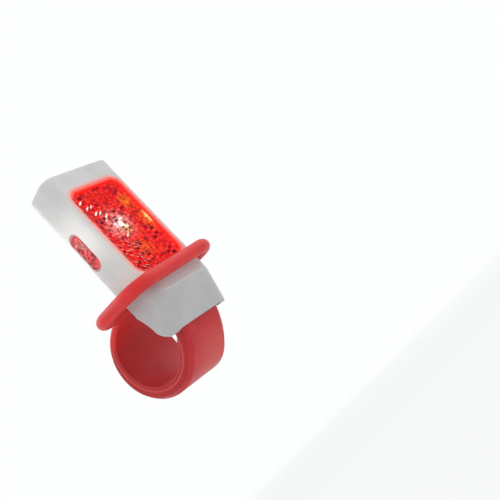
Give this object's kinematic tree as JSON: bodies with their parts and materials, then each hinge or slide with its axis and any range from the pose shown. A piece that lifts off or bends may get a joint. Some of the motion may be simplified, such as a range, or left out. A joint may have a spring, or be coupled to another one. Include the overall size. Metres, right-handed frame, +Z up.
{
  "type": "bike light",
  "caption": "Small rear bike light with a frosted housing, red prism lens, side push key and a stretch strap that holds it upright on a handlebar or seat post.",
  "frame": {"origin": "on the axis of the bar, at the middle of the light's width", "axes": "+X along the bar, -Y the way the light shines, +Z up the housing"},
  "size_m": [0.0411, 0.0398, 0.0689],
  "materials": {
    "frosted_plastic": "frosted translucent light grey, fine satin",
    "red_lens": "clear red moulded prism lens",
    "dark_rubber": "dull dark rubber",
    "grey_plastic": "satin opaque light grey",
    "red_silicone": "smooth matte red silicone",
    "steel": "plain steel",
    "black_plastic": "matt black moulding",
    "cell_can": "bright nickel can",
    "spring_sheet": "spring sheet metal",
    "board_laminate": "green lacquered board",
    "led_resin": "clear resin over a white base",
    "capacitor_sleeve": "tan ceramic",
    "switch_white": "white moulding"
  },
  "bodies": {
    "light": {"foot": "grey_plastic", "saddle_pad": "dark_rubber", "strap": "red_silicone", "strap_pin": "steel", "cover_seal": "dark_rubber", "battery_carrier": "black_plastic", "coin_cell": "cell_can", "contact_positive": "spring_sheet", "contact_negative": "spring_sheet", "circuit_board": "board_laminate", "led_upper": "led_resin", "led_lower": "led_resin", "led_resistors": "black_plastic", "control_chip": "black_plastic", "chip_capacitor": "capacitor_sleeve", "switch_body": "black_plastic", "carrier_screws": "steel", "board_screws": "steel"},
    "cover": {"frosted_cover": "frosted_plastic", "reflector_lens": "red_lens", "lens_seal": "dark_rubber"},
    "key": {"side_key": "red_lens", "key_pad": "dark_rubber"},
    "plunger": {"switch_plunger": "switch_white"}
  },
  "joints": [
    {"name": "cover_lift", "type": "slide", "parent": "light", "child": "cover", "axis": [0, 0, 1], "range_m": [0, 0.042]},
    {"name": "key_press", "type": "slide", "parent": "cover", "child": "key", "axis": [1, 0, 0], "range_m": [0, 0.0005], "stiffness_N_per_m": 800, "springref_m": -0.0006},
    {"name": "plunger_press", "type": "slide", "parent": "light", "child": "plunger", "axis": [1, 0, 0], "range_m": [0, 0.0005]}
  ],
  "couplings": [
    {"joint": "plunger_press", "follows": "key_press", "ratio": 1}
  ]
}
